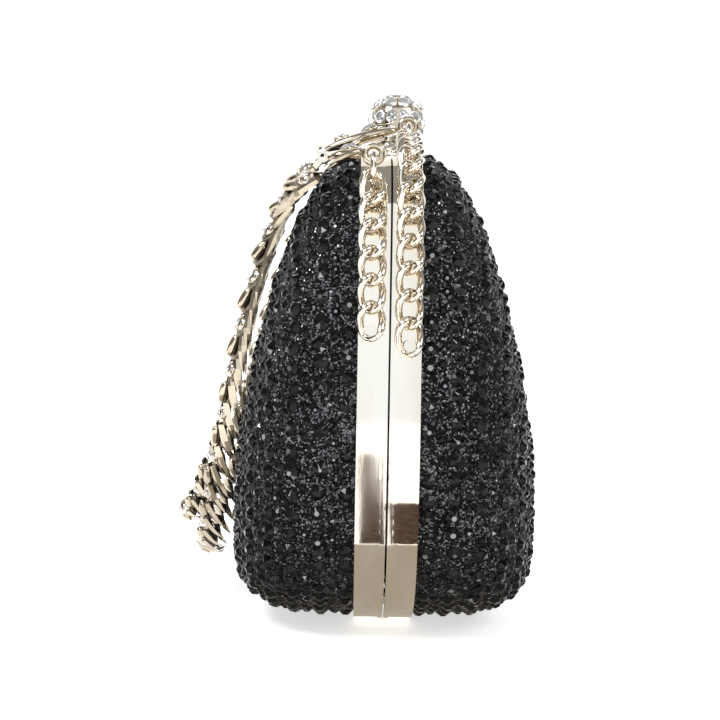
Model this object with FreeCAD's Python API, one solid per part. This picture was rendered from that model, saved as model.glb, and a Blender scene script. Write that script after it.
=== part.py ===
import FreeCAD, Part
import math
import os

# Evening bag: two bulging shells in bent metal bands, hinged along the bottom, closed by a ball
# clasp, with two chain handles that hang in nested loops over the front half.
# Millimetres. X runs along the bag, +Y is the back half, +Z is up, the bag stands on z = 0.

Vector = FreeCAD.Vector

# Bands
HALF_LENGTH = 95.0
HEIGHT = 131.5
BELOW = 1.0              # the band's outline runs this far below the flat foot
TOP_CORNER = 5.5         # superellipse exponents of the band's outline, above and below its middle
LOW_CORNER = 3.4
BAND_WIDTH = 8.0
BAND_WALL = 1.2
SEAM_GAP = 0.25          # half the gap between the two bands
BEAD_WIDTH = 1.2
BEAD_RISE = 0.3
FLANGE_WALL = 1.0
FLANGE_DEPTH = 3.6

# Shells
REACH = 35.2             # how far the cover bulges past the band
BELLY_Z = 34.0           # height where the shell is deepest
RIM_INSET = 0.8
LAST_LEVEL = 80.0        # degrees, where the loft ends in a small flat
LEVELS = 10
OUTLINE_POINTS = 64
COVER_WALL = 0.7
CORE_WALL = 2.0
LINING_WALL = 0.5
LAYER_GAP = 0.05
STONE_RISE = 1.7

# Hinge along the bottom
HINGE_Z = 1.6
BARREL_R = 1.5
HINGE_PIN_R = 0.70
HINGE_BORE_R = 0.75
KNUCKLE = 10.0
KNUCKLE_GAP = 0.1
LEAF_WALL = 0.8
SET_BACK = 1.75

# Clasp
CLASP_Y = 4.2
CLASP_Z = HEIGHT + 2.9
CLASP_PIN_R = 0.60
CLASP_BORE_R = 0.65
HUB_R = 1.7
HUB_HALF = 2.2
EAR_IN = 4.0
EAR_OUT = 5.4
BALL_R = 9.0
BALL_Y = 3.0
BALL_Z = 148.7
NECK_TOP = 140.4
HOOK_HALF = 2.6
HOOK_LIP = 0.9
LIP_Y = -4.4
SPRING_R = 1.3
SPRING_WIRE_R = 0.3
SPRING_PITCH = 0.5         # close-wound, so that neighbouring turns merge

# Curb chain strands on the ends of the bands
LINK_PITCH = 6.9
LINK_HALF_LENGTH = 4.4
LINK_HALF_WIDTH = 2.75
LINK_TWIST = 1.45
LINK_WIRE_R = 0.9
CHAIN_Y = 4.8
CHAIN_LIFT = 2.75        # from the band's outline to the middle of a link
LOWEST_LINK_Z = 80.0
POST_DROP = 2.2          # from the middle of the lowest link down to its post

# Corner rings that join a side strand to a handle
RING_R = 3.5
RING_WIRE_R = 0.75
RING_LIFT = 4.4
FRONT_RING_X = 88.0      # where on the band's outline each ring stands
BACK_RING_X = 62.0
LOOP_R = 2.2
LOOP_WIRE_R = 0.65

# Handles
UNIT_PITCH = 7.0
UNIT_GAP = 0.9
UNIT_HALF_WIDTH = 5.2
UNIT_THICK = 4.6
CAP_LENGTH = 9.0
HUG = STONE_RISE + 2.0 + UNIT_THICK / 2
CAP_PIN_R = 0.70         # the first link swings on this pin at the outer end of the cap
CAP_BORE_R = 0.75
CAP_KNUCKLE_R = 1.5
CAP_KNUCKLE_HALF = 1.9
CAP_EAR_WALL = 1.2
TONGUE = 3.2             # from the cap's pin to where the run of links starts
# "cap": from the corner ring's pivot to the cap's pin. "shoulder": where the path crosses the
# shoulder. "x" and "top": where the leg starts. "low": height of the lowest point. "loose": how
# far the loop's bottom hangs off the shell. "round": how sharply the loop is rounded.
FRONT_RUN = {"cap": (-4.0, -12.9, -0.9), "shoulder": (79.0, 115.5), "x": 64.0, "top": 109.0,
             "low": 17.6, "loose": 6.2, "round": 22.0}
BACK_RUN = {"cap": (-3.5, -23.9, -7.0), "shoulder": (52.0, 121.5), "x": 42.0, "top": 114.0,
            "low": 26.0, "loose": 11.2, "round": 13.5}

MID_Z = (HEIGHT - BELOW) / 2
HALF_HEIGHT = (HEIGHT + BELOW) / 2


def power(value, exponent):
    """value raised to exponent, keeping its sign."""
    return math.copysign(abs(value) ** exponent, value)


def outline(half_x, mid_z, half_z, corners, y):
    """A closed smooth loop in the plane at y, a superellipse with its own exponent above and below."""
    points = []
    for i in range(OUTLINE_POINTS):
        turn = 2 * math.pi * i / OUTLINE_POINTS
        exponent = corners[0] if math.sin(turn) > 0 else corners[1]
        x = half_x * power(math.cos(turn), 2 / exponent)
        z = mid_z + half_z * power(math.sin(turn), 2 / exponent)
        points.append(Vector(x, y, z))
    curve = Part.BSplineCurve()
    curve.interpolate(Points=points, PeriodicFlag=True)
    return Part.Wire([curve.toShape()])


def band_block(inset, y0, y1, floor):
    """The band's outline moved in by inset, filled from y0 to y1 and flat below floor."""
    wire = outline(HALF_LENGTH - inset, MID_Z, HALF_HEIGHT - inset, (TOP_CORNER, LOW_CORNER), y0)
    block = Part.Face(wire).extrude(Vector(0, y1 - y0, 0))
    above = Part.makeBox(2 * HALF_LENGTH + 20, 60, HEIGHT + 20, Vector(-HALF_LENGTH - 10, -30, floor))
    return block.common(above)


def band():
    """One band on the front side: strip, bead beside the seam and inner flange."""
    strip = band_block(0, -BAND_WIDTH, -SEAM_GAP, 0)
    bead = band_block(-BEAD_RISE, -SEAM_GAP - BEAD_WIDTH, -SEAM_GAP, 0)
    inside = band_block(BAND_WALL, -BAND_WIDTH + FLANGE_WALL, 1, BAND_WALL + 0.2)
    window = band_block(FLANGE_DEPTH, -BAND_WIDTH - 1, -1, FLANGE_DEPTH)
    return strip.fuse(bead).cut(inside).cut(window).removeSplitter()


def level_shape(level, inset):
    """Half length, middle height, half height and exponents of the shell's loop at one level."""
    above = HEIGHT - BELLY_Z - RIM_INSET
    below = BELLY_Z - RIM_INSET
    top = BELLY_Z + above * (1 - level**2.13) ** 0.833
    low = BELLY_Z - below * (1 - level**3) ** 0.25
    half_x = (HALF_LENGTH - RIM_INSET) * (1 - level**3.2) ** (1 / 3.2)
    corners = (TOP_CORNER - 2.5 * level, LOW_CORNER + 0.3 * level)
    return half_x - inset, (top + low) / 2, (top - low) / 2 - inset, corners


def shell_block(inset):
    """The bulging solid of the front half, every wall moved in by inset."""
    wires = []
    for i in range(LEVELS + 1):
        level = math.sin(math.radians(LAST_LEVEL) * i / LEVELS)
        half_x, mid_z, half_z, corners = level_shape(level, inset)
        y = -BAND_WIDTH - (REACH - inset) * level
        wires.append(outline(half_x, mid_z, half_z, corners, y))
    return Part.makeLoft(wires, True, False)


def shell_layer(outer, inner):
    """One layer of the front half's shell, between two insets."""
    return shell_block(outer).cut(shell_block(inner))


def depth(x, z):
    """How far the cover's surface stands from the seam plane at x and z."""
    low, high = 0.0, 0.999
    for _ in range(40):
        level = (low + high) / 2
        half_x, mid_z, half_z, corners = level_shape(level, 0)
        exponent = corners[0] if z > mid_z else corners[1]
        spot = abs(x / half_x) ** exponent + abs((z - mid_z) / half_z) ** exponent
        low, high = (level, high) if spot < 1 else (low, level)
    return BAND_WIDTH + REACH * low


def off_surface(x, z, lift):
    """The point that stands lift clear of the front cover, square to it."""
    step = 0.4
    slope_x = (depth(x + step, z) - depth(x - step, z)) / (2 * step)
    slope_z = (depth(x, z + step) - depth(x, z - step)) / (2 * step)
    normal = Vector(-slope_x, -1, -slope_z).normalize()
    return Vector(x, -depth(x, z), z) + normal * lift


def knuckle_starts(first):
    """Where along X the knuckles of one leaf start: first is 0 for the front, 1 for the back."""
    return [(i - 2.5) * KNUCKLE for i in range(first, 5, 2)]


def hinge_leaf(first):
    """A leaf on the front side with every second knuckle, bored for the pin."""
    plate_y = -SET_BACK - 0.2
    leaf = Part.makeBox(52, BAND_WIDTH - 1.2 + plate_y, LEAF_WALL,
                        Vector(-26, -BAND_WIDTH + 1.2, BAND_WALL + 0.2))
    for start in knuckle_starts(first):
        length = KNUCKLE - 2 * KNUCKLE_GAP
        at = start + KNUCKLE_GAP
        leaf = leaf.fuse(Part.makeCylinder(BARREL_R, length, Vector(at, 0, HINGE_Z), Vector(1, 0, 0)))
        leaf = leaf.fuse(Part.makeBox(length, -plate_y - 0.9, LEAF_WALL,
                                      Vector(at, plate_y, BAND_WALL + 0.2)))
    bore = Part.makeCylinder(HINGE_BORE_R, 60, Vector(-30, 0, HINGE_Z), Vector(1, 0, 0))
    return leaf.cut(bore).removeSplitter()


def headed_pin(radius, head_r, half, y, z):
    """A pin along X with a thin head at both ends."""
    pin = Part.makeCylinder(radius, 2 * half, Vector(-half, y, z), Vector(1, 0, 0))
    for side in (-1, 1):
        head = Part.makeCylinder(head_r, 0.4, Vector(side * half - 0.2, y, z), Vector(1, 0, 0))
        pin = pin.fuse(head)
    return pin.removeSplitter()


def clasp_bracket():
    """Base plate with two bored ears on top of the back band."""
    bracket = Part.makeBox(2 * EAR_OUT + 2, 5.6, 0.6, Vector(-EAR_OUT - 1, 1.6, HEIGHT + 0.05))
    for side in (-1, 1):
        x = EAR_IN if side > 0 else -EAR_OUT
        width = EAR_OUT - EAR_IN
        bracket = bracket.fuse(Part.makeBox(width, 3.6, CLASP_Z - HEIGHT - 0.05,
                                            Vector(x, CLASP_Y - 1.8, HEIGHT + 0.05)))
        bracket = bracket.fuse(Part.makeCylinder(1.8, width, Vector(x, CLASP_Y, CLASP_Z),
                                                 Vector(1, 0, 0)))
    bore = Part.makeCylinder(CLASP_BORE_R, 20, Vector(-10, CLASP_Y, CLASP_Z), Vector(1, 0, 0))
    return bracket.cut(bore).removeSplitter()


def clasp_lever():
    """Hub on the clasp pin with a neck up to the ball and a hook over the seam."""
    hub = Part.makeCylinder(HUB_R, 2 * HUB_HALF, Vector(-HUB_HALF, CLASP_Y, CLASP_Z), Vector(1, 0, 0))
    neck = Part.makeCone(2.0, 3.2, NECK_TOP - CLASP_Z, Vector(0, CLASP_Y - 0.6, CLASP_Z))
    arm = Part.makeBox(2 * HUB_HALF, CLASP_Y - LIP_Y, 1.0, Vector(-HUB_HALF, LIP_Y, HEIGHT + 1.9))
    lip = Part.makeBox(2 * HOOK_HALF, HOOK_LIP, 2.2, Vector(-HOOK_HALF, LIP_Y, HEIGHT + 0.7))
    bore = Part.makeCylinder(CLASP_BORE_R, 20, Vector(-10, CLASP_Y, CLASP_Z), Vector(1, 0, 0))
    return hub.fuse(neck).fuse(arm).fuse(lip).cut(bore).removeSplitter()


def clasp_ball():
    """Ball with a flat under it for the neck and a slightly flattened crown."""
    ball = Part.makeSphere(BALL_R, Vector(0, BALL_Y, BALL_Z))
    crown = BALL_Z + BALL_R - 0.4
    keep = Part.makeBox(40, 40, crown - NECK_TOP, Vector(-20, BALL_Y - 20, NECK_TOP))
    return ball.common(keep)


def clasp_spring(side):
    """Close-wound torsion spring round the clasp pin, between the hub and one ear."""
    start = HUB_HALF + 0.1 + SPRING_WIRE_R
    coil = None
    for turn in range(3):
        centre = Vector(side * (start + turn * SPRING_PITCH), CLASP_Y, CLASP_Z)
        winding = Part.makeTorus(SPRING_R, SPRING_WIRE_R, centre, Vector(1, 0, 0))
        coil = coil.fuse(winding) if coil else winding
    return coil


def outline_at(x, lift):
    """Point on the band's outline above x, lifted square to it, and its outward normal in XZ."""
    z = HALF_HEIGHT * (1 - abs(x / HALF_LENGTH) ** TOP_CORNER) ** (1 / TOP_CORNER)
    steep = TOP_CORNER - 1
    normal = Vector(abs(x / HALF_LENGTH) ** steep / HALF_LENGTH, 0, (z / HALF_HEIGHT) ** steep / HALF_HEIGHT)
    normal.normalize()
    return Vector(x, 0, MID_Z + z) + normal * lift


def ring_centre(x, y):
    """Middle of the corner ring that stands on the outline above x."""
    spot = outline_at(x, RING_LIFT)
    return Vector(spot.x, y, spot.z)


def pivot_of(centre):
    """The handle turns about the top wire of its corner ring."""
    return centre + Vector(0, 0, RING_R)


def strand_path(x, y):
    """Dense points from the corner ring down the end of the band, in the plane at y."""
    points = []
    steps = 400
    start = math.acos((x / HALF_LENGTH) ** (TOP_CORNER / 2))
    steep = TOP_CORNER - 1
    for i in range(steps + 1):
        turn = start * (1 - i / steps)
        point_x = HALF_LENGTH * math.cos(turn) ** (2 / TOP_CORNER)
        rise = math.sin(turn) ** (2 / TOP_CORNER)
        normal = Vector((point_x / HALF_LENGTH) ** steep / HALF_LENGTH, 0, rise**steep / HALF_HEIGHT)
        normal.normalize()
        lift = CHAIN_LIFT + (RING_LIFT - CHAIN_LIFT) * (1 - i / steps) ** 6
        points.append(Vector(point_x, y, MID_Z + HALF_HEIGHT * rise) + normal * lift)
    return points


def walk(points, first, pitch):
    """Places every pitch along a dense path, from first: point and unit direction."""
    places = []
    along = 0.0
    wanted = first
    for a, b in zip(points, points[1:]):
        length = (b - a).Length
        while length > 0 and along + length >= wanted:
            places.append((a + (b - a) * ((wanted - along) / length), (b - a).normalize()))
            wanted += pitch
        along += length
    return places


def placed(shape, point, along, across):
    """shape moved so that its X runs along and its Y runs across."""
    up = along.cross(across).normalize()
    side = up.cross(along).normalize()
    matrix = FreeCAD.Matrix(along.x, side.x, up.x, point.x,
                            along.y, side.y, up.y, point.y,
                            along.z, side.z, up.z, point.z,
                            0, 0, 0, 1)
    copy = shape.copy()
    copy.Placement = FreeCAD.Placement(matrix)
    return copy


def curb_link():
    """A twisted oval link, lying along X."""
    points = []
    for i in range(16):
        turn = 2 * math.pi * i / 16
        points.append(Vector(LINK_HALF_LENGTH * math.cos(turn),
                             LINK_HALF_WIDTH * math.sin(turn),
                             LINK_TWIST * math.sin(2 * turn)))
    curve = Part.BSplineCurve()
    curve.interpolate(Points=points, PeriodicFlag=True)
    first, last = curve.FirstParameter, curve.LastParameter
    middle = (first + last) / 2
    halves = []
    for begin, end in ((first, middle), (middle, last)):
        ring = Part.makeCircle(LINK_WIRE_R, curve.value(begin), curve.tangent(begin)[0])
        path = Part.Wire([curve.toShape(begin, end)])
        halves.append(path.makePipeShell([Part.Wire([ring])], True, False))
    return halves[0].fuse(halves[1])


def side_strand(x, y):
    """The curb links on the +X end of one band, as separate solids, and the lowest link's place."""
    reach = RING_R + LINK_HALF_LENGTH - RING_WIRE_R - LINK_WIRE_R - 0.55
    link = curb_link()
    places = [spot for spot in walk(strand_path(x, y), reach, LINK_PITCH)
              if spot[0].z > LOWEST_LINK_Z - LINK_PITCH / 2]
    links = [placed(link, point, along, Vector(0, 1, 0)) for point, along in places]
    return Part.makeCompound(links), places[-1][0]


def chain_post(lowest, side):
    """Headed post on one end of the band, through the lowest link."""
    z = lowest.z - POST_DROP
    post = Part.makeCylinder(0.9, 5.9, Vector(HALF_LENGTH - 0.5, lowest.y, z), Vector(1, 0, 0))
    head = Part.makeCylinder(1.5, 0.6, Vector(HALF_LENGTH + 5.4, lowest.y, z), Vector(1, 0, 0))
    post = post.fuse(head)
    if side < 0:
        post = mirror_x(post)
    return post.cut(band_block(0, -BAND_WIDTH, BAND_WIDTH, 0)).removeSplitter()


def corner_ring(x, y):
    """The ring that stands on the corner, in the XZ plane."""
    return Part.makeTorus(RING_R, RING_WIRE_R, ring_centre(x, y), Vector(0, 1, 0))


def cap_pin_place(run, centre):
    """Where the first link of a handle swings on the outer end of its cap."""
    return pivot_of(centre) + Vector(*run["cap"])


def handle_path(run, centre):
    """Dense points of one handle, from the pin of the +X end cap to that of the -X end cap."""
    points = [cap_pin_place(run, centre), off_surface(*run["shoulder"], HUG)]
    steps = 16
    full = math.cosh(run["x"] / run["round"]) - 1
    for i in range(steps):
        x = run["x"] * math.cos(math.pi / 2 * i / steps) ** 0.8
        rise = (math.cosh(x / run["round"]) - 1) / full
        z = run["low"] + (run["top"] - run["low"]) * rise
        points.append(off_surface(x, z, HUG + run["loose"] * (1 - rise) ** 6))
    bottom = off_surface(0.0, run["low"], HUG + run["loose"])
    mirrored = [Vector(-p.x, p.y, p.z) for p in reversed(points)]
    curve = Part.BSplineCurve()
    curve.interpolate(points + [bottom] + mirrored)
    return curve.discretize(1500)


def outward(point):
    """Direction from the bag's inside to a point of a handle."""
    return Vector(point.x * 0.35, point.y, (point.z - BELLY_Z - 20) * 0.55).normalize()


def faceted_link(half_length, half_width, thick):
    """A six-sided bevelled link with its point leading along X."""
    shape = [(-1.0, 0.0), (-0.2, -0.8), (0.55, -1.0), (1.0, -0.55), (1.0, 0.55), (0.55, 1.0), (-0.2, 0.8)]
    wires = []
    for z, scale in ((-0.5, 0.82), (-0.2, 1.0), (0.15, 1.0), (0.5, 0.55)):
        points = [Vector(x * half_length * scale, y * half_width * scale, z * thick) for x, y in shape]
        wires.append(Part.makePolygon(points + points[:1]))
    return Part.makeLoft(wires, True, True)


def handle_places(run, centre):
    """The places of a handle's links, evenly spread between its end caps."""
    path = handle_path(run, centre)
    length = sum((b - a).Length for a, b in zip(path, path[1:])) - 2 * TONGUE
    count = 2 * round((length / UNIT_PITCH - 1) / 2) + 1
    pitch = length / count
    return walk(path, TONGUE + pitch / 2, pitch)[:count]


def handle_links(places):
    """The links at some of a handle's places, as separate solids. They point down the drape."""
    solids = []
    link = faceted_link(UNIT_PITCH / 2 - UNIT_GAP / 2, UNIT_HALF_WIDTH, UNIT_THICK)
    for point, along in places:
        heading = along if point.x > 0 else along * -1
        across = outward(point).cross(heading).normalize()
        solids.append(placed(link, point, heading, across))
    return Part.makeCompound(solids)


def knuckle(run, centre):
    """The eye that joins the +X run of links to the cap's pin, with a tongue towards the links."""
    pin = cap_pin_place(run, centre)
    heading = handle_path(run, centre)[20] - pin
    heading.normalize()
    length = 2 * CAP_KNUCKLE_HALF
    barrel = Part.makeCylinder(CAP_KNUCKLE_R, length, pin - Vector(CAP_KNUCKLE_HALF, 0, 0), Vector(1, 0, 0))
    tongue = placed(Part.makeBox(TONGUE, 2.4, 1.4, Vector(0, -1.2, -0.7)), pin, heading, Vector(1, 0, 0))
    bore = Part.makeCylinder(CAP_BORE_R, 20, pin - Vector(10, 0, 0), Vector(1, 0, 0))
    return barrel.fuse(tongue).cut(bore).removeSplitter()


def end_cap(run, centre):
    """The +X end cap: a long bevelled leaf between the loop on the corner ring and a forked end
    with the pin for the first link."""
    pivot = pivot_of(centre)
    pin = cap_pin_place(run, centre)
    along = (pin - pivot).normalize()
    middle = pin - along * (CAP_LENGTH / 2 + CAP_KNUCKLE_R + 0.3)
    across = Vector(1, 0, 0)
    cap = placed(faceted_link(CAP_LENGTH / 2, UNIT_HALF_WIDTH * 0.8, UNIT_THICK), middle, along, across)
    neck_from = pivot + along * LOOP_R
    reach = middle - neck_from
    cap = cap.fuse(Part.makeCylinder(LOOP_WIRE_R + 0.35, reach.Length, neck_from, reach))
    back = Vector(0, -along.y, -along.z).normalize()
    ear = Part.makeBox(CAP_KNUCKLE_R + 2.2, CAP_EAR_WALL, 2.4, Vector(0, 0, -1.2))
    ear = ear.fuse(Part.makeCylinder(1.5, CAP_EAR_WALL, Vector(0, 0, 0), Vector(0, 1, 0)))
    for inner in (CAP_KNUCKLE_HALF + 0.1, -CAP_KNUCKLE_HALF - 0.1 - CAP_EAR_WALL):
        cap = cap.fuse(placed(ear, pin + Vector(inner, 0, 0), back, Vector(1, 0, 0)))
    slot = Part.makeCylinder(CAP_KNUCKLE_R + 0.3, 2 * CAP_KNUCKLE_HALF + 0.2,
                             pin - Vector(CAP_KNUCKLE_HALF + 0.1, 0, 0), Vector(1, 0, 0))
    cap = cap.cut(slot)
    width = CAP_KNUCKLE_HALF + 0.1 + CAP_EAR_WALL
    cap = cap.fuse(Part.makeCylinder(CAP_PIN_R, 2 * width, pin - Vector(width, 0, 0), Vector(1, 0, 0)))
    clear = Part.makeCylinder(LOOP_R - LOOP_WIRE_R, 6, pivot - Vector(3, 0, 0), Vector(1, 0, 0))
    loop = Part.makeTorus(LOOP_R, LOOP_WIRE_R, pivot, Vector(1, 0, 0))
    return cap.cut(clear).fuse(loop).removeSplitter()


def mirror_x(shape):
    return shape.mirror(Vector(0, 0, 0), Vector(1, 0, 0))


def mirror_y(shape):
    return shape.mirror(Vector(0, 0, 0), Vector(0, 1, 0))


def front_half():
    """Everything fixed to the front band, apart from its chains."""
    notch = Part.makeBox(51.6, 2 * SET_BACK, 5, Vector(-25.8, -SET_BACK, -1))
    core = COVER_WALL + LAYER_GAP
    lining = core + CORE_WALL + LAYER_GAP
    return {
        "front_frame": band().cut(notch),
        "front_cover": shell_layer(0, COVER_WALL),
        "front_shell": shell_layer(core, core + CORE_WALL),
        "front_lining": shell_layer(lining, lining + LINING_WALL),
        "front_hinge_leaf": hinge_leaf(0),
        "hinge_pin": headed_pin(HINGE_PIN_R, 1.2, 25.4, 0, HINGE_Z),
        "front_catch": Part.makeBox(2 * HOOK_HALF + 1, 1.7, 1.5, Vector(-HOOK_HALF - 0.5, -3.3, HEIGHT + 0.05)),
    }


def back_half(front):
    """The back half mirrors the front, with its lower inner edge cut back to swing clear."""
    groove = Part.makeBox(2 * HALF_LENGTH, SET_BACK + 0.5, HINGE_Z + 1, Vector(-HALF_LENGTH, -0.5, -1))
    notch = Part.makeBox(51.6, 2 * SET_BACK, 5, Vector(-25.8, -SET_BACK, -1))
    nodes = {"back_" + layer: mirror_y(front["front_" + layer]) for layer in ("cover", "shell", "lining")}
    nodes["back_frame"] = mirror_y(band()).cut(groove).cut(notch)
    nodes["back_hinge_leaf"] = mirror_y(hinge_leaf(1))
    nodes["clasp_bracket"] = clasp_bracket()
    nodes["clasp_pin"] = headed_pin(CLASP_PIN_R, 1.0, EAR_OUT + 0.35, CLASP_Y, CLASP_Z)
    nodes["clasp_spring_right"] = clasp_spring(1)
    nodes["clasp_spring_left"] = clasp_spring(-1)
    return nodes


def chains(half, ring_x, y):
    """Side strands, posts and corner rings at both ends of one band."""
    strand, lowest = side_strand(ring_x, y)
    ring = corner_ring(ring_x, y)
    return {
        half + "_chain_right": strand,
        half + "_chain_left": mirror_x(strand),
        half + "_post_right": chain_post(lowest, 1),
        half + "_post_left": chain_post(lowest, -1),
        half + "_ring_right": ring,
        half + "_ring_left": mirror_x(ring),
    }


def handle(half, run, centre):
    """One chain handle: end caps, eyes, two side runs and the lower run."""
    places = handle_places(run, centre)
    third = len(places) // 3
    cap = end_cap(run, centre)
    eye = knuckle(run, centre)
    name = half + "_handle_"
    return {
        name + "cap_right": cap,
        name + "cap_left": mirror_x(cap),
        name + "eye_right": eye,
        name + "eye_left": mirror_x(eye),
        name + "links_right": handle_links(places[:third]),
        name + "links_low": handle_links(places[third:-third]),
        name + "links_left": handle_links(places[-third:]),
    }


os.makedirs("parts", exist_ok=True)
nodes = front_half()
nodes.update(back_half(nodes))
nodes["clasp_lever"] = clasp_lever()
nodes["clasp_ball"] = clasp_ball()
nodes.update(chains("front", FRONT_RING_X, -CHAIN_Y))
nodes.update(chains("back", BACK_RING_X, CHAIN_Y))
nodes.update(handle("front", FRONT_RUN, ring_centre(FRONT_RING_X, -CHAIN_Y)))
nodes.update(handle("back", BACK_RUN, ring_centre(BACK_RING_X, CHAIN_Y)))
for node, shape in nodes.items():
    shape.exportStep("parts/" + node + ".step")
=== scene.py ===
import math
import random

import bpy
import numpy as np
from mathutils import Matrix, Vector


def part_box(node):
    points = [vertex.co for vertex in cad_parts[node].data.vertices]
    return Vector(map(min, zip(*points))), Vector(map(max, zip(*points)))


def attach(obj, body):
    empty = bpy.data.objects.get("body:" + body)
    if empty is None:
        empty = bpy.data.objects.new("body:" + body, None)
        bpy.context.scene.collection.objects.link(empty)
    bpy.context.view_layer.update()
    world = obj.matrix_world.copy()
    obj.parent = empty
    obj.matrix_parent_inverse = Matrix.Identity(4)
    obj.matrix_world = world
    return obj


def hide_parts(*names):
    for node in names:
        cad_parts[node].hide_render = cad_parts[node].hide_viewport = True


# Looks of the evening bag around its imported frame. Metres, except where a name says mm.

MM = 0.001
HALVES = ("front", "back")
SIDES = ("right", "left")

# Jet stones on the covers, mm
ROW_STEP = 6.2           # degrees of the bulge between two columns of stones
ROW_END = 78             # degrees where the columns stop
ROW_STONES = (1.95, 1.2)  # radii, in turn from column to column
ROW_TRIES = 42000
LOOSE_STONES = ((1.5, 900), (0.95, 2600), (0.6, 5200))
STONE_GAP = 0.15
STONE_SINK = 0.05
PAINTED_TABLE_HIGHLIGHT_SHARE = 0.36       # of the stones get a painted highlight on their table, a grey metallic copy of the jet
PAINTED_GLINT_SHARE = 0.20       # of the stones get a painted glint on one side facet, a grey metallic copy of the jet

# Handle links, mm in the link's own axes: X along the chain, Z away from the bag
LEAF_ROOT = (-4.4, 1.3, 0.7)
LEAF_TIP = (5.9, 4.0, -3.1)
LEAF_FACE = (0.0, 0.8, 0.6)     # way the blade's flat side looks
LEAF_HALF_WIDTH = 1.15
LEAF_ARCH = 0.7
BASE_RING = (3.3, 0.85, 0.66, -0.4)  # radius, wire radius, narrowing and height
BAR_HALF_LENGTH = 3.3
BAR_R = 1.45
BAR_HEIGHT = 1.5
LINK_ROSETTE = 0.85             # size of a rosette against the full one
LOW_ROSETTE = 1.25
CAP_ROSETTE = 0.8
HANDLE_MIDDLE_Z = 0.054         # metres, the height that the links face away from

# End caps, mm
LOOP_INSET = 2.9                # middle of the loop, in from the high corner of the CAD cap's box
PIN_INSET = 1.5                 # middle of the pin, in from its low corner
LOOP_RING = (2.2, 0.8, 1.0, 0.0)  # as BASE_RING
CAP_HALF_WIDTH = 3.3
CAP_HALF_THICK = 1.7

# Clasp ball, mm
BALL_ROWS = 5
BALL_STONE = 4.0
BALL_SQUARE = 2.5               # superellipse exponent of its outline
BALL_R = 9.0
BALL_DROP = 8.6                 # its middle below its top
BALL_TOP = math.pi / 2 * 0.985  # latitudes of its upper and lower end
BALL_LOWEST = -math.pi / 2 * 0.80

# Camera
CAMERA_AT = Vector((0.445, -0.0074, 0.0737))
CAMERA_ROLL = 1.0        # degrees
LENS = 70.0

# Light: each lamp's name, place, watts and width
LAMPS = (("key", (0.6, -0.6, 0.9), 7.0, 0.35), ("fill", (0.6, 0.7, 0.7), 4.0, 0.5))
WORLD_LIGHT = 0.33
FLOOR_GLOW = 0.62


# ---------------------------------------------------------------- shader helpers

def new_material(name):
    material = bpy.data.materials.new(name)
    material.use_nodes = True
    tree = material.node_tree
    return material, tree, tree.nodes["Principled BSDF"]


def add(tree, kind, **values):
    """A new shader node; keys that name an input set it, others set the node's own property."""
    node = tree.nodes.new(kind)
    for key, value in values.items():
        label = key.replace("_", " ").title()
        if label in node.inputs:
            node.inputs[label].default_value = value
        else:
            setattr(node, key, value)
    return node


def place(tree):
    return add(tree, "ShaderNodeTexCoord").outputs["Object"]


def noise(tree, scale, detail=3.0, stretch=None):
    """Noise in the piece's own metres, stretched along some axes if asked."""
    where = place(tree)
    if stretch:
        mapping = add(tree, "ShaderNodeMapping")
        mapping.inputs["Scale"].default_value = stretch
        tree.links.new(where, mapping.inputs["Vector"])
        where = mapping.outputs["Vector"]
    node = add(tree, "ShaderNodeTexNoise", scale=scale, detail=detail)
    tree.links.new(where, node.inputs["Vector"])
    return node.outputs["Fac"]


def ramp(tree, value, low, high, start=0.0, end=1.0):
    """value from start..end turned into low..high, held at both ends."""
    node = add(tree, "ShaderNodeMapRange")
    node.inputs["From Min"].default_value = start
    node.inputs["From Max"].default_value = end
    node.inputs["To Min"].default_value = low
    node.inputs["To Max"].default_value = high
    tree.links.new(value, node.inputs["Value"])
    return node.outputs["Result"]


def blend_colours(tree, factor, first, second):
    node = add(tree, "ShaderNodeMix", data_type="RGBA")
    node.inputs[6].default_value = (*first, 1)
    node.inputs[7].default_value = (*second, 1)
    tree.links.new(factor, node.inputs["Factor"])
    return node.outputs[2]


def bump(tree, height, strength, distance, shader):
    node = add(tree, "ShaderNodeBump", strength=strength, distance=distance)
    tree.links.new(height, node.inputs["Height"])
    tree.links.new(node.outputs["Normal"], shader.inputs["Normal"])


def tilt_facets(tree, colour, amount, shader):
    """Each cell of a random colour gets its own normal, up to amount away from the surface's."""
    tilt = add(tree, "ShaderNodeVectorMath", operation="MULTIPLY_ADD")
    tree.links.new(colour, tilt.inputs[0])
    tilt.inputs[1].default_value = (amount, amount, amount)
    tilt.inputs[2].default_value = (-amount / 2, -amount / 2, -amount / 2)
    normal = add(tree, "ShaderNodeVectorMath", operation="ADD")
    tree.links.new(tilt.outputs["Vector"], normal.inputs[0])
    tree.links.new(add(tree, "ShaderNodeNewGeometry").outputs["Normal"], normal.inputs[1])
    unit = add(tree, "ShaderNodeVectorMath", operation="NORMALIZE")
    tree.links.new(normal.outputs["Vector"], unit.inputs[0])
    tree.links.new(unit.outputs["Vector"], shader.inputs["Normal"])


# ---------------------------------------------------------------- materials

def plate(name, dark, light, rough):
    """Metal plate with faint wipe marks."""
    material, tree, shader = new_material(name)
    shader.inputs["Metallic"].default_value = 1.0
    wipe = noise(tree, 90, 4.0, (1.0, 1.0, 0.25))
    shade = ramp(tree, wipe, 0, 1, 0.35, 0.65)
    tree.links.new(blend_colours(tree, shade, dark, light), shader.inputs["Base Color"])
    tree.links.new(ramp(tree, wipe, rough, rough + 0.07, 0.3, 0.7), shader.inputs["Roughness"])
    bump(tree, noise(tree, 900, 2.0, (1.0, 1.0, 0.1)), 0.04, 0.0001, shader)
    return material


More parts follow.
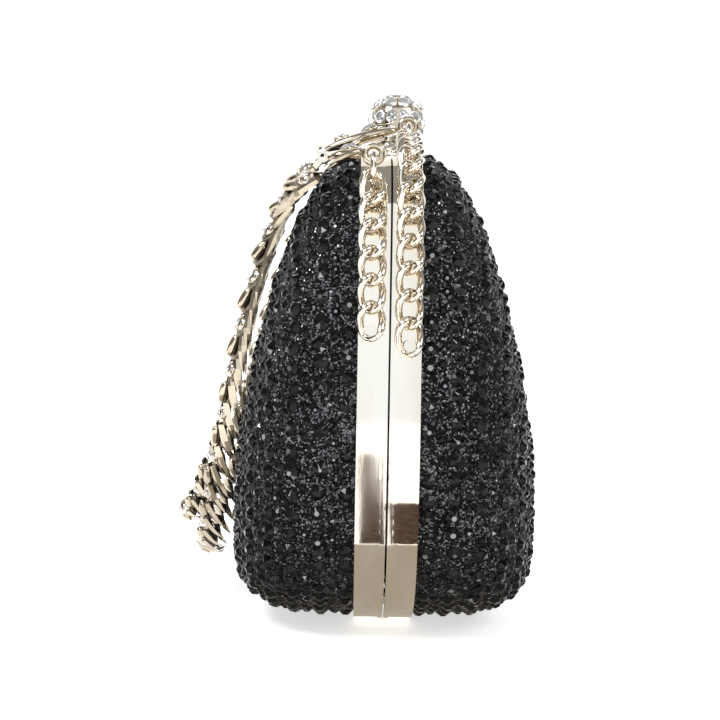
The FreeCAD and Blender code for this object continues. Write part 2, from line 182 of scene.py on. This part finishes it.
def spring_steel():
    material, tree, shader = new_material("spring_steel")
    shader.inputs["Metallic"].default_value = 1.0
    grain = noise(tree, 1500, 3.0, (0.1, 1.0, 1.0))
    tree.links.new(blend_colours(tree, grain, (0.42, 0.42, 0.43), (0.62, 0.62, 0.63)),
                   shader.inputs["Base Color"])
    tree.links.new(ramp(tree, grain, 0.2, 0.4), shader.inputs["Roughness"])
    return material


def glitter_fabric():
    """Black cloth with fine flakes, each tilted its own way."""
    material, tree, shader = new_material("glitter_fabric")
    flakes = add(tree, "ShaderNodeTexVoronoi", scale=2500.0)
    tree.links.new(place(tree), flakes.inputs["Vector"])
    parts = add(tree, "ShaderNodeSeparateColor")
    tree.links.new(flakes.outputs["Color"], parts.inputs["Color"])
    patch = noise(tree, 160, 2.0)
    chance = add(tree, "ShaderNodeMath", operation="ADD")
    tree.links.new(parts.outputs["Red"], chance.inputs[0])
    tree.links.new(ramp(tree, patch, -0.18, 0.18, 0.3, 0.7), chance.inputs[1])
    shown = ramp(tree, chance.outputs["Value"], 0, 1, 0.66, 0.72)
    shine = add(tree, "ShaderNodeMath", operation="MULTIPLY")
    tree.links.new(shown, shine.inputs[0])
    tree.links.new(ramp(tree, parts.outputs["Green"], 0.15, 1.0), shine.inputs[1])
    tree.links.new(blend_colours(tree, shine.outputs["Value"], (0.003, 0.003, 0.004), (0.20, 0.20, 0.21)),
                   shader.inputs["Base Color"])
    tree.links.new(ramp(tree, shown, 0.0, 0.9), shader.inputs["Metallic"])
    tree.links.new(ramp(tree, shown, 0.75, 0.25), shader.inputs["Roughness"])
    shader.inputs["Specular IOR Level"].default_value = 0.15
    tilt_facets(tree, flakes.outputs["Color"], 1.0, shader)
    return material


def jet(name, dark, light, metallic):
    """Black cut glass with a slight haze; the grey copies with metallic set paint highlights on tables and
    glints on side facets.
    """
    material, tree, shader = new_material(name)
    haze = noise(tree, 700, 2.0)
    tree.links.new(blend_colours(tree, haze, dark, light), shader.inputs["Base Color"])
    tree.links.new(ramp(tree, haze, 0.05, 0.18, 0.3, 0.7), shader.inputs["Roughness"])
    shader.inputs["Metallic"].default_value = metallic
    shader.inputs["IOR"].default_value = 1.5
    shader.inputs["Specular IOR Level"].default_value = 0.25
    return material


def crystal():
    """Clear cut stone on foil, with the facets behind its table."""
    material, tree, shader = new_material("clear_stone")
    cuts = add(tree, "ShaderNodeTexVoronoi", scale=1300.0)
    tree.links.new(place(tree), cuts.inputs["Vector"])
    parts = add(tree, "ShaderNodeSeparateColor")
    tree.links.new(cuts.outputs["Color"], parts.inputs["Color"])
    tree.links.new(blend_colours(tree, parts.outputs["Red"], (0.80, 0.80, 0.81), (0.97, 0.97, 0.98)),
                   shader.inputs["Base Color"])
    tree.links.new(ramp(tree, parts.outputs["Green"], 0.02, 0.09), shader.inputs["Roughness"])
    shader.inputs["Metallic"].default_value = 0.8
    shader.inputs["Coat Weight"].default_value = 0.6
    tilt_facets(tree, cuts.outputs["Color"], 0.35, shader)
    return material


def satin():
    """Black lining with a fine diagonal weave."""
    material, tree, shader = new_material("lining_satin")
    weave = add(tree, "ShaderNodeTexWave", scale=520.0, distortion=0.6, bands_direction="DIAGONAL")
    tree.links.new(place(tree), weave.inputs["Vector"])
    fade = noise(tree, 40, 3.0)
    tree.links.new(blend_colours(tree, fade, (0.010, 0.010, 0.012), (0.030, 0.029, 0.032)),
                   shader.inputs["Base Color"])
    tree.links.new(ramp(tree, weave.outputs["Fac"], 0.32, 0.5), shader.inputs["Roughness"])
    shader.inputs["Sheen Weight"].default_value = 0.4
    bump(tree, weave.outputs["Fac"], 0.25, 0.0001, shader)
    return material


def board():
    """Moulded stiff core, seen only at the rim."""
    material, tree, shader = new_material("moulded_core")
    grain = noise(tree, 600, 4.0)
    tree.links.new(blend_colours(tree, grain, (0.02, 0.02, 0.02), (0.05, 0.05, 0.05)),
                   shader.inputs["Base Color"])
    tree.links.new(ramp(tree, grain, 0.55, 0.8), shader.inputs["Roughness"])
    bump(tree, grain, 0.2, 0.0002, shader)
    return material


# ---------------------------------------------------------------- mesh helpers

class Shape:
    """Vertices and faces gathered into one mesh."""

    def __init__(self):
        self.points = []
        self.faces = []
        self.kinds = []

    def put(self, points, faces, matrix=None, kinds=None):
        start = len(self.points)
        self.points += [matrix @ Vector(p) if matrix else Vector(p) for p in points]
        self.faces += [tuple(start + i for i in face) for face in faces]
        self.kinds += kinds or [0] * len(faces)

    def make(self, name, materials, body, slot, smooth=False):
        mesh = bpy.data.meshes.new(name)
        mesh.from_pydata([tuple(p) for p in self.points], [], self.faces)
        for material in materials:
            mesh.materials.append(MATERIALS[material])
        mesh.polygons.foreach_set("material_index", self.kinds)
        if smooth:
            mesh.shade_smooth()
        piece = bpy.data.objects.new(name, mesh)
        bpy.context.scene.collection.objects.link(piece)
        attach(piece, body)
        return piece


def tube_faces(rows, around):
    """Faces that join rows + 1 rings of around points each, and one over either end."""
    faces = []
    for i in range(rows):
        for k in range(around):
            a, b = around * i + k, around * i + (k + 1) % around
            faces.append((a, b, b + around, a + around))
    return faces + [tuple(reversed(range(around))), tuple(range(around * rows, around * (rows + 1)))]


def rings(levels, sides, shift=0.5):
    """A closed turned solid: levels are (radius, height); each ring is turned shift of a step on."""
    points, faces = [], []
    for row, (radius, height) in enumerate(levels):
        for i in range(sides):
            turn = 2 * math.pi * (i + shift * row) / sides
            points.append((radius * math.cos(turn), radius * math.sin(turn), height))
    for row in range(len(levels) - 1):
        for i in range(sides):
            a, b = row * sides + i, row * sides + (i + 1) % sides
            c, d = a + sides, b + sides
            if shift:
                faces += [(a, b, c), (b, d, c)]
            else:
                faces.append((a, b, d, c))
    faces.append(tuple(reversed(range(sides))))
    faces.append(tuple(range((len(levels) - 1) * sides, len(levels) * sides)))
    return points, faces


def frame_matrix(point, forward, out):
    """Local X along forward, local Z along out, in mm at a point in metres."""
    out = out.normalized()
    across = out.cross(forward).normalized()
    forward = across.cross(out)
    turn = Matrix((forward, across, out)).transposed().to_4x4()
    return Matrix.Translation(point) @ turn @ Matrix.Scale(MM, 4)


# ---------------------------------------------------------------- jet stones

def outer_triangles(node):
    """Corners and normals of the triangles on the outside of a half's cover."""
    low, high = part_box(node)
    seam = high if node.startswith("front") else low
    core = Vector(((low.x + high.x) / 2, seam.y, (low.z + high.z) / 2 - 0.02))
    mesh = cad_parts[node].data
    mesh.calc_loop_triangles()
    corners, normals = [], []
    for tri in mesh.loop_triangles:
        a, b, c = (mesh.vertices[i].co for i in tri.vertices)
        middle = (a + b + c) / 3
        if tri.normal.dot(middle - core) > 0.003 and abs(middle.y - seam.y) > 0.0002:
            corners.append((a, b, c))
            normals.append(tri.normal.copy())
    return corners, normals


class Cover:
    """The outside of one cover, where stones are set without touching."""

    def __init__(self, half):
        node = half + "_cover"
        low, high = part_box(node)
        self.seam_y = high.y if half == "front" else low.y
        self.reach = high.y - low.y
        self.corners, self.normals = outer_triangles(node)
        areas = np.array([(b - a).cross(c - a).length / 2 for a, b, c in self.corners])
        self.share = np.cumsum(areas) / areas.sum()
        self.rng = random.Random(7 if half == "front" else 11)
        self.cells = {}
        self.shape = Shape()

    def spot(self):
        """A random point and its normal, with how far it is from the rim."""
        index = int(np.searchsorted(self.share, self.rng.random()))
        a, b, c = self.corners[index]
        u, v = self.rng.random(), self.rng.random()
        if u + v > 1:
            u, v = 1 - u, 1 - v
        point = a + (b - a) * u + (c - a) * v
        return point, self.normals[index], abs(point.y - self.seam_y)

    def free(self, point, radius):
        key = tuple(int(w // 0.005) for w in point)
        for i in (-1, 0, 1):
            for j in (-1, 0, 1):
                for k in (-1, 0, 1):
                    for other, r in self.cells.get((key[0] + i, key[1] + j, key[2] + k), ()):
                        if (point - other).length < (radius + r + STONE_GAP) * MM:
                            return False
        self.cells.setdefault(key, []).append((point, radius))
        return True

    def set_stone(self, point, normal, radius):
        rng = self.rng
        sides = 8 if radius > 1.4 else 6
        height = 0.66 * radius
        table = rng.uniform(0.22, 0.42)
        levels = ((radius * 0.96, -STONE_SINK), (radius, 0.18 * height), (radius * table, height))
        points, faces = rings(levels, sides, 0.5)
        kinds = [0] * len(faces)
        # painted highlight: the stone's table gets the grey metallic copy of the jet
        if radius > 0.9 and rng.random() < PAINTED_TABLE_HIGHLIGHT_SHARE:
            kinds[-1] = 1
        # painted glint: one side facet gets the grey metallic copy of the jet
        if radius > 0.9 and rng.random() < PAINTED_GLINT_SHARE:
            first = 2 * sides + 2 * rng.randrange(sides)
            kinds[first] = 2
        turn = Vector((rng.uniform(-1, 1), rng.uniform(-1, 1), rng.uniform(-1, 1)))
        lean = Vector((rng.uniform(-1, 1), rng.uniform(-1, 1), rng.uniform(-1, 1))) * 0.06
        self.shape.put(points, faces, frame_matrix(point, turn, normal + lean), kinds)


def jet_stones(half):
    """Columns of stones that run round the bulge, then smaller ones between, as one piece."""
    cover = Cover(half)
    count = int(ROW_END / ROW_STEP)
    columns = [cover.reach * math.sin(math.radians(ROW_STEP * (i + 0.5))) for i in range(count)]
    for _ in range(ROW_TRIES):
        point, normal, away = cover.spot()
        column = min(range(len(columns)), key=lambda i: abs(columns[i] - away))
        radius = ROW_STONES[column % 2]
        in_column = abs(columns[column] - away) < 0.5 * MM and away > (radius + 0.2) * MM
        if in_column and cover.free(point, radius):
            cover.set_stone(point, normal, radius)
    for radius, tries in LOOSE_STONES:
        for _ in range(tries):
            point, normal, away = cover.spot()
            if away > (radius + 0.15) * MM and cover.free(point, radius):
                cover.set_stone(point, normal, radius)
    # the second and third materials are the painted table highlight and the painted glint
    kinds = ("jet", "jet_painted_table_highlight", "jet_painted_glint")
    cover.shape.make(half + "_jet_stones", kinds, half + "_half", "glitter_fabric")


# ---------------------------------------------------------------- handles

def link_places(half):
    """Middles of a handle's CAD links from +X to -X."""
    middles = []
    for part in ("right", "low", "left"):
        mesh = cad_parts[half + "_handle_links_" + part].data
        parent = list(range(len(mesh.vertices)))
        seen = {}
        for i, vertex in enumerate(mesh.vertices):
            key = tuple(round(w / 2e-6) for w in vertex.co)
            parent[i] = seen.setdefault(key, i)

        def root(i):
            while parent[i] != i:
                parent[i] = parent[parent[i]]
                i = parent[i]
            return i

        for edge in mesh.edges:
            a, b = (root(i) for i in edge.vertices)
            parent[a] = b
        groups = {}
        for i in range(len(mesh.vertices)):
            groups.setdefault(root(i), []).append(mesh.vertices[i].co)
        for points in groups.values():
            spots = np.array([tuple(p) for p in points])
            middles.append(Vector((spots.min(0) + spots.max(0)) / 2))
    return sorted(middles, key=lambda p: -p.x)


def leaf(side):
    """One pointed blade with a ridge, from the spine of the link out and down towards the shell."""
    points = []
    steps = 7
    root = Vector((LEAF_ROOT[0], side * LEAF_ROOT[1], LEAF_ROOT[2]))
    tip = Vector((LEAF_TIP[0], side * LEAF_TIP[1], LEAF_TIP[2]))
    run = (tip - root).normalized()
    wide = Vector((LEAF_FACE[0], side * LEAF_FACE[1], LEAF_FACE[2])).cross(run).normalized()
    up = run.cross(wide)
    for i in range(steps + 1):
        t = i / steps
        arch = math.sin(math.pi * t)
        middle = root.lerp(tip, t) + up * LEAF_ARCH * arch
        half = LEAF_HALF_WIDTH * max(0.03, math.sin(math.pi * min(1, 0.22 + 0.78 * t)) ** 0.7)
        points += [middle + wide * half, middle + up * 0.45 * half, middle - wide * half, middle - up * 0.3]
    return points, tube_faces(steps, 4)


def capsule(half_length, radius, height):
    """A rounded bar along X, lying at height."""
    points = []
    rows, sides = 10, 12
    for i in range(rows + 1):
        turn = math.pi * i / rows
        x = -half_length * math.cos(turn)
        r = radius * math.sin(turn) ** 0.6 + 0.01
        for k in range(sides):
            a = 2 * math.pi * k / sides
            points.append((x, r * math.cos(a), height + r * math.sin(a)))
    return points, tube_faces(rows, sides)


def ring_tube(major, minor, squash, height, steps=20, sides=8):
    """An oval ring lying flat at height."""
    points, faces = [], []
    for i in range(steps):
        turn = 2 * math.pi * i / steps
        for k in range(sides):
            a = 2 * math.pi * k / sides
            r = major + minor * math.cos(a)
            points.append((r * math.cos(turn), squash * r * math.sin(turn), height + minor * math.sin(a)))
    for i in range(steps):
        for k in range(sides):
            a, b = sides * i + k, sides * i + (k + 1) % sides
            c, d = sides * ((i + 1) % steps) + k, sides * ((i + 1) % steps) + (k + 1) % sides
            faces.append((a, c, d, b))
    return points, faces


def brilliant(radius, base):
    """A round cut stone standing on base."""
    levels = ((radius * 0.9, base), (radius, base + 0.15 * radius), (radius * 0.84, base + 0.36 * radius),
              (radius * 0.55, base + 0.56 * radius))
    return rings(levels, 10)


def handle(half):
    """Two leaf blades on every link, a bar or a rosette on each in turn, and one rosette at the bottom."""
    places = link_places(half)
    metal, bars, stones, bases = Shape(), Shape(), Shape(), Shape()
    for i, point in enumerate(places):
        before, after = places[max(0, i - 1)], places[min(len(places) - 1, i + 1)]
        along = after - before
        if point.x < 0:
            along = -along
        out = Vector((point.x * 0.35, point.y, (point.z - HANDLE_MIDDLE_Z) * 0.55))
        matrix = frame_matrix(point, along, out)
        for side in (-1, 1):
            metal.put(*leaf(side), matrix)
        # A dark ring under each link, in darker rougher metal: painted shade under the link.
        bases.put(*ring_tube(*BASE_RING), matrix)
        if i % 2:
            bars.put(*capsule(BAR_HALF_LENGTH, BAR_R, BAR_HEIGHT), matrix)
        else:
            rosette(matrix, bars, stones, LINK_ROSETTE)
    lowest = min(places, key=lambda place: place.z)
    low = frame_matrix(lowest, Vector((1, 0, 0)), Vector((0, -1, -0.35)))
    rosette(low @ Matrix.Translation((0, 0, 0.8)), bars, stones, LOW_ROSETTE)
    body = half + "_handle"
    leaves = metal.make(half + "_handle_leaves", ["champagne"], body, "nickel")
    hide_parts(*[half + "_handle_links_" + part for part in ("right", "low", "left")])
    bars.make(half + "_handle_settings", ["champagne"], body, "nickel", smooth=True)
    bases.make(half + "_handle_bases", ["painted_shade_under_links"], body, "nickel", smooth=True)
    stones.make(half + "_handle_stones", ["crystal"], body, "crystal")


def rosette(matrix, settings, stones, scale):
    """A small dome set with one stone on top and six round it, and a grain between every two."""
    dome = ((3.0, 0.0), (2.9, 0.9), (2.2, 1.7), (1.2, 2.1))
    settings.put(*rings([(r * scale, h * scale) for r, h in dome], 16, 0.0), matrix)
    top = Matrix.Translation((0, 0, 1.9 * scale))
    stones.put(*brilliant(1.3 * scale, 0.0), matrix @ top)
    for i in range(6):
        round_dome = Matrix.Rotation(i * math.pi / 3, 4, "Z")
        seat = round_dome @ Matrix.Translation((2.15 * scale, 0, 1.0 * scale))
        seat = seat @ Matrix.Rotation(0.75, 4, "Y")
        stones.put(*brilliant(0.95 * scale, 0.0), matrix @ seat)
        grain = Matrix.Rotation(math.pi / 6, 4, "Z") @ seat
        settings.put(*rings(((0.4, 0.0), (0.35, 0.6), (0.15, 0.9)), 6, 0.0), matrix @ grain)


def cap_place(half, side):
    """Length in mm from the loop of one end cap to its pin, and the matrix of the middle between."""
    low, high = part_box(half + "_handle_cap_" + side)
    x = (low.x + high.x) / 2
    start = Vector((x, high.y - LOOP_INSET * MM, high.z - LOOP_INSET * MM))
    end = Vector((x, low.y + PIN_INSET * MM, low.z + PIN_INSET * MM))
    run = end - start
    matrix = frame_matrix((start + end) / 2, run, Vector((0, run.z, -run.y)))
    return run.length / MM, matrix


def cap_body(span):
    """A smooth leaf along X, widest in the middle."""
    points = []
    steps, around = 12, 16
    for i in range(steps + 1):
        t = i / steps
        swell = max(0.22, math.sin(math.pi * (0.12 + 0.76 * t)) ** 0.8)
        arch = 0.4 * math.sin(math.pi * t)
        for k in range(around):
            a = 2 * math.pi * k / around
            points.append((span * (t - 0.5) + 1.0, CAP_HALF_WIDTH * swell * math.cos(a),
                           CAP_HALF_THICK * swell * math.sin(a) + arch))
    return points, tube_faces(steps, around)


def cap_dress(half):
    """Both end caps: loop, leaf body, two blades and a three-sided stone; the back ones have a rosette."""
    stones, settings = Shape(), Shape()
    for side in SIDES:
        length, matrix = cap_place(half, side)
        loop = Matrix.Translation((-length / 2, 0, 0)) @ Matrix.Rotation(math.pi / 2, 4, "X")
        settings.put(*ring_tube(*LOOP_RING, 28, 10), matrix @ loop)
        span = length - 2 * LOOP_RING[0]
        settings.put(*cap_body(span), matrix)
        for flank in (-1, 1):
            settings.put(*leaf(flank), matrix @ Matrix.Translation((0.5, 0, 0.8)))
        stone = matrix @ Matrix.Translation((-span * 0.12, 0, 1.9))
        settings.put(*rings(((3.0, -0.6), (3.2, 0.1), (2.9, 0.5)), 3, 0.0), stone)
        stones.put(*rings(((2.7, 0.0), (2.8, 0.6), (1.6, 1.5)), 3, 0.0), stone)
        if half == "back":
            rosette(matrix @ Matrix.Translation((span * 0.30, 0, 1.0)), settings, stones, CAP_ROSETTE)
    body = "front_half" if half == "front" else "back_caps"
    piece = settings.make(half + "_cap_bodies", ["champagne"], body, "nickel", smooth=True)
    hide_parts(*[half + "_handle_cap_" + side for side in SIDES])
    stones.make(half + "_cap_stones", ["crystal"], body, "crystal")


# ---------------------------------------------------------------- clasp ball

def ball_profile(latitude):
    """Radius and height in mm of the ball's surface at a latitude, from a rounded square outline."""
    low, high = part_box("clasp_ball")
    half = (high.x - low.x) / 2 / MM - 0.3
    c, s = math.cos(latitude), math.sin(latitude)
    scale = (abs(c) ** BALL_SQUARE + abs(s) ** BALL_SQUARE) ** (-1 / BALL_SQUARE)
    return half * scale * c, half * scale * s


def ball_matrix(middle, latitude, turn):
    """A place on the ball's surface, with its local Z square to the surface."""
    radius, height = ball_profile(latitude)
    r2, z2 = ball_profile(latitude + 0.02)
    out = Vector(((z2 - height) * math.cos(turn), (z2 - height) * math.sin(turn), radius - r2)).normalized()
    east = Vector((-math.sin(turn), math.cos(turn), 0))
    spot = middle + Vector((radius * math.cos(turn), radius * math.sin(turn), height)) * MM
    return frame_matrix(spot, east, out)


def clasp_ball():
    """The ball's metal body with thin raised rings, and close rows of flat stones between them."""
    low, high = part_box("clasp_ball")
    middle = Vector(((low.x + high.x) / 2, (low.y + high.y) / 2, high.z - BALL_DROP * MM))
    at = Matrix.Translation(middle) @ Matrix.Scale(MM, 4)
    core, ridges, stones = Shape(), Shape(), Shape()
    steps = 28
    arc = BALL_TOP - BALL_LOWEST
    levels = [ball_profile(BALL_LOWEST + arc * i / steps) for i in range(steps + 1)]
    core.put(*rings(levels, 48, 0.0), at)
    row_height = arc / BALL_ROWS
    for row in range(BALL_ROWS):
        latitude = BALL_LOWEST + row_height * (row + 0.5)
        radius = ball_profile(latitude)[0]
        edge_r, edge_z = ball_profile(latitude - row_height / 2)
        ridges.put(*ring_tube(edge_r, 0.16, 1.0, edge_z, 40, 6), at)
        count = max(4, round(2 * math.pi * radius / BALL_STONE))
        width = 2 * math.pi * radius / count * 0.47
        tall = row_height * BALL_R * 0.43
        for i in range(count):
            turn = 2 * math.pi * (i + 0.5) / count
            points, faces = rings(((1.0, -0.2), (1.0, 0.25), (0.66, 0.62)), 8, 0.5)
            points = [Vector((p[0] * width, p[1] * tall, p[2])) for p in points]
            stones.put(points, faces, ball_matrix(middle, latitude, turn))
    height = ball_profile(BALL_TOP)[1]
    piece = core.make("clasp_ball_core", ["champagne"], "clasp", "nickel", smooth=True)
    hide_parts("clasp_ball")
    ridges.make("clasp_ball_ridges", ["nickel"], "clasp", "nickel", smooth=True)
    crown = frame_matrix(middle + Vector((0, 0, height * MM)), Vector((1, 0, 0)), Vector((0, 0, 1)))
    stones.put(*rings(((1.9, -0.2), (2.0, 0.1), (1.2, 0.5)), 10, 0.0), crown)
    stones.make("clasp_ball_stones", ["crystal"], "clasp", "crystal")


# ---------------------------------------------------------------- studio

def paint_frame():
    """Every CAD node gets the finish of its kind."""
    finish = {
        "cover": "glitter", "shell": "board", "lining": "satin", "pin": "steel", "spring": "steel",
    }
    for name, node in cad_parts.items():
        kind = next((finish[word] for word in finish if word in name), "nickel")
        node.data.materials.clear()
        node.data.materials.append(MATERIALS[kind])


def card(name, at, wide, tall, facing, material):
    """A flat card that only reflections see."""
    mesh = bpy.data.meshes.new(name)
    mesh.from_pydata([(-wide / 2, -tall / 2, 0), (wide / 2, -tall / 2, 0), (wide / 2, tall / 2, 0),
                      (-wide / 2, tall / 2, 0)], [], [(0, 1, 2, 3)])
    mesh.materials.append(material)
    flag = bpy.data.objects.new(name, mesh)
    flag.location = at
    flag.rotation_euler = Vector(facing).to_track_quat("Z", "Y").to_euler()
    flag.visible_camera = False
    flag.visible_diffuse = False
    flag.visible_shadow = False
    bpy.context.scene.collection.objects.link(flag)


def sweep(material):
    """A floor that curves up into the backdrop."""
    profile = [(1.6, 0.0), (-0.7, 0.0)]
    for i in range(1, 13):
        turn = math.pi / 2 * i / 12
        profile.append((-0.7 - 0.5 * math.sin(turn), 0.5 - 0.5 * math.cos(turn)))
    profile.append((-1.2, 2.5))
    points = [(x, y, z) for x, z in profile for y in (-2.5, 2.5)]
    faces = [(2 * i, 2 * i + 1, 2 * i + 3, 2 * i + 2) for i in range(len(profile) - 1)]
    mesh = bpy.data.meshes.new("floor")
    mesh.from_pydata(points, [], faces)
    mesh.shade_smooth()
    mesh.materials.append(material)
    floor = bpy.data.objects.new("floor", mesh)
    bpy.context.scene.collection.objects.link(floor)


def studio():
    """Grey world, white sweep, soft lamps, and cards that only reflections see."""
    scene = bpy.context.scene
    world = bpy.data.worlds.new("studio")
    world.use_nodes = True
    background = world.node_tree.nodes["Background"]
    background.inputs["Color"].default_value = (1, 0.98, 0.95, 1)
    background.inputs["Strength"].default_value = WORLD_LIGHT
    scene.world = world
    scene.view_settings.view_transform = "Standard"

    material, tree, shader = new_material("pale_floor")
    fade = noise(tree, 6, 2.0)
    tree.links.new(blend_colours(tree, fade, (0.90, 0.895, 0.89), (0.93, 0.925, 0.92)),
                   shader.inputs["Base Color"])
    shader.inputs["Roughness"].default_value = 0.6
    shader.inputs["Emission Color"].default_value = (1, 1, 1, 1)
    shader.inputs["Emission Strength"].default_value = FLOOR_GLOW
    sweep(material)

    for name, at, energy, size in LAMPS:
        lamp = bpy.data.lights.new(name, "AREA")
        lamp.energy = energy
        lamp.size = size
        holder = bpy.data.objects.new(name, lamp)
        holder.location = at
        holder.rotation_euler = (Vector((0, 0, 0.07)) - Vector(at)).to_track_quat("-Z", "Y").to_euler()
        scene.collection.objects.link(holder)

    white, tree, shader = new_material("white_card")
    tree.links.new(blend_colours(tree, noise(tree, 4), (0.85, 0.91, 0.97), (0.89, 0.95, 1.0)),
                   shader.inputs["Emission Color"])
    shader.inputs["Base Color"].default_value = (0, 0, 0, 1)
    shader.inputs["Emission Strength"].default_value = 1.2
    rug, tree, shader = new_material("rug")
    tree.links.new(blend_colours(tree, noise(tree, 260, 4.0), (0.004, 0.003, 0.003), (0.30, 0.20, 0.16)),
                   shader.inputs["Emission Color"])
    shader.inputs["Base Color"].default_value = (0, 0, 0, 1)
    shader.inputs["Specular IOR Level"].default_value = 0.0
    shader.inputs["Emission Strength"].default_value = 0.7
    dark, tree, shader = new_material("flag_cloth")
    tree.links.new(blend_colours(tree, noise(tree, 30), (0.005, 0.003, 0.002), (0.05, 0.03, 0.02)),
                   shader.inputs["Base Color"])
    shader.inputs["Roughness"].default_value = 1.0
    warm, tree, shader = new_material("warm_card")
    tree.links.new(blend_colours(tree, noise(tree, 25), (0.46, 0.42, 0.36), (0.56, 0.51, 0.44)),
                   shader.inputs["Emission Color"])
    shader.inputs["Base Color"].default_value = (0, 0, 0, 1)
    shader.inputs["Roughness"].default_value = 1.0
    shader.inputs["Emission Strength"].default_value = 0.9
    card("head_card", (0.95, 0.0, 0.54), 0.9, 1.1, (-1, 0, 0), white)
    card("near_card", (0.079, 0.0, 0.0025), 0.058, 0.3, (0, 0, 1), warm)
    card("low_flag_front", (0.225, -0.0030, 0.003), 0.233, 0.0070, (0, 0, 1), rug)
    card("low_flag_back", (0.137, 0.0090, 0.003), 0.057, 0.0140, (0, 0, 1), rug)
    card("front_flag", (0.42, -0.36, 0.14), 0.16, 0.5, (-0.7, 0.7, 0), dark)
    card("back_flag", (0.42, 0.36, 0.14), 0.16, 0.5, (-0.7, -0.7, 0), dark)
    card("front_side_flag", (0.02, -0.60, 0.12), 0.16, 0.6, (0, 1, 0), dark)
    card("back_side_flag", (0.02, 0.60, 0.12), 0.16, 0.6, (0, -1, 0), dark)


def camera():
    lens = bpy.data.cameras.new("camera")
    lens.lens = LENS
    lens.clip_start = 0.01
    holder = bpy.data.objects.new("camera", lens)
    view = Vector((-1, 0, 0)).to_track_quat("-Z", "Y").to_matrix()
    roll = Matrix.Rotation(math.radians(CAMERA_ROLL), 3, "Z")
    holder.matrix_world = Matrix.Translation(CAMERA_AT) @ (view @ roll).to_4x4()
    bpy.context.scene.collection.objects.link(holder)
    bpy.context.scene.camera = holder


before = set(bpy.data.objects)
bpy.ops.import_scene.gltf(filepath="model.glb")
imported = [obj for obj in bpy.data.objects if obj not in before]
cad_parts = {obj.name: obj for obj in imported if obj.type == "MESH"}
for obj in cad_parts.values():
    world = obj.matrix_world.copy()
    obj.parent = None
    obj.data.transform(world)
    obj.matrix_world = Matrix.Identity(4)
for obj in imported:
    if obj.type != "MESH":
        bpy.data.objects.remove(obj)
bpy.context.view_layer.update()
MATERIALS = {
    "nickel": plate("pale_nickel", (0.78, 0.70, 0.58), (0.87, 0.81, 0.72), 0.03),
    "champagne": plate("champagne_nickel", (0.46, 0.39, 0.29), (0.70, 0.62, 0.49), 0.10),
    # darker, rougher copy of the metal for the rings under the links: painted shade
    "painted_shade_under_links": plate("nickel_in_painted_shade", (0.16, 0.13, 0.10), (0.34, 0.30, 0.24), 0.30),
    "steel": spring_steel(), "glitter": glitter_fabric(),
    "jet": jet("jet_stone", (0.001, 0.001, 0.002), (0.006, 0.006, 0.007), 0.0),
    # grey metallic copy of the jet: painted highlight on the stones' tables
    "jet_painted_table_highlight": jet("jet_painted_table_highlight", (0.20, 0.20, 0.21), (0.34, 0.34, 0.35), 0.8),
    # grey metallic copy of the jet: painted glint on one side facet of a stone
    "jet_painted_glint": jet("jet_painted_glint", (0.20, 0.20, 0.21), (0.42, 0.42, 0.43), 0.7),
    "crystal": crystal(), "satin": satin(), "board": board(),
}
paint_frame()
for half in HALVES:
    jet_stones(half)
    handle(half)
    cap_dress(half)
clasp_ball()
studio()
camera()
